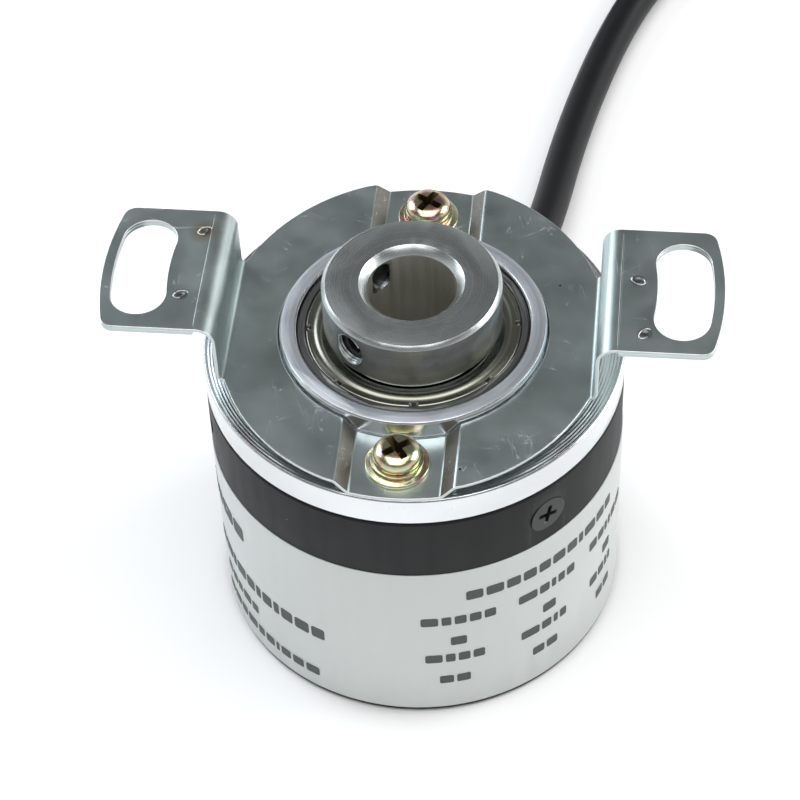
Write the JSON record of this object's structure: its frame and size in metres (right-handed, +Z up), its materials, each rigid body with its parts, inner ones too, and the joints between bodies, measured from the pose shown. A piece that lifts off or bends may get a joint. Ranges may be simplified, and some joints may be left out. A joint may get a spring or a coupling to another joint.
{
  "type": "rotary encoder",
  "caption": "Hollow-shaft rotary encoder with a clamping collar, a sheet-metal stator coupling with slotted mounting wings, a round can cover and a side cable.",
  "frame": {"origin": "centre of the base's bottom face", "axes": "+Z up the shaft's axis towards the collar, +X towards one mounting wing"},
  "size_m": [0.064, 0.1755, 0.0387],
  "materials": {
    "turned_aluminium": "fine turned, bright",
    "bearing_steel": "ground",
    "shield_steel": "satin pressed",
    "cage_steel": "pressed",
    "coupling_steel": "rolled sheet, satin",
    "yellow_zinc": "yellow passivated zinc",
    "shaft_steel": "fine turned",
    "black_screw": "black oxide",
    "black_cover": "satin black",
    "label_film": "satin film",
    "spacer_steel": "turned",
    "hub_brass": "turned",
    "disc_glass": "polished",
    "holder_plastic": "moulded",
    "led_lens": "clear",
    "plated_wire": "tinned",
    "chip_black": "moulded",
    "board_green": "solder mask",
    "capacitor_tan": "ceramic",
    "plated_brass": "nickel plated",
    "connector_white": "moulded",
    "wire_insulation": "vinyl",
    "black_rubber": "moulded",
    "cable_jacket": "satin vinyl",
    "tie_nylon": "nylon",
    "lead_green": "vinyl",
    "lead_white": "vinyl",
    "lead_yellow": "vinyl",
    "lead_red": "vinyl",
    "lead_black": "vinyl"
  },
  "bodies": {
    "housing": {"base_flange": "turned_aluminium", "front_outer_race": "bearing_steel", "rear_outer_race": "bearing_steel", "front_bearing_shields": "shield_steel", "rear_bearing_shields": "shield_steel", "tether_plate": "coupling_steel", "wing_doubler_left": "coupling_steel", "wing_doubler_right": "coupling_steel", "tether_screws": "yellow_zinc", "spring_washers": "yellow_zinc", "flat_washers": "yellow_zinc", "cover": "black_cover", "label": "label_film", "cover_screws": "black_screw", "led_holder": "holder_plastic", "led": "led_lens", "led_holder_screws": "plated_brass", "led_leads": "plated_wire", "reticle": "disc_glass", "sensor_chip": "chip_black", "main_pcb": "board_green", "driver_chips": "chip_black", "capacitors": "capacitor_tan", "resistors": "chip_black", "standoffs": "plated_brass", "pcb_screws": "plated_brass", "pcb_header": "connector_white", "wire_plug": "connector_white", "inner_wires": "wire_insulation", "cable_clamp": "plated_brass", "cable_grommet": "black_rubber", "cable": "cable_jacket", "cable_coil": "cable_jacket", "coil_tie": "tie_nylon", "cable_end": "cable_jacket", "lead_green": "lead_green", "lead_white": "lead_white", "lead_yellow": "lead_yellow", "lead_red": "lead_red", "lead_black": "lead_black", "lead_tips": "plated_wire"},
    "rotor": {"shaft": "shaft_steel", "front_inner_race": "bearing_steel", "rear_inner_race": "bearing_steel", "inner_spacer": "spacer_steel", "retaining_ring": "spacer_steel", "set_screws": "black_screw", "disc_hub": "hub_brass", "code_disc": "disc_glass", "disc_clamp": "hub_brass"},
    "front_ball_set": {"front_balls": "bearing_steel", "front_cage": "cage_steel"},
    "rear_ball_set": {"rear_balls": "bearing_steel", "rear_cage": "cage_steel"}
  },
  "joints": [
    {"name": "shaft_spin", "type": "hinge", "parent": "housing", "child": "rotor", "pos_m": [0, 0, 0.03], "axis": [0, 0, 1], "continuous": true},
    {"name": "front_balls_spin", "type": "hinge", "parent": "housing", "child": "front_ball_set", "pos_m": [0, 0, 0.0303], "axis": [0, 0, 1], "continuous": true},
    {"name": "rear_balls_spin", "type": "hinge", "parent": "housing", "child": "rear_ball_set", "pos_m": [0, 0, 0.0203], "axis": [0, 0, 1], "continuous": true}
  ],
  "couplings": [
    {"joint": "front_balls_spin", "follows": "shaft_spin", "ratio": 0.42788},
    {"joint": "rear_balls_spin", "follows": "shaft_spin", "ratio": 0.42788}
  ]
}
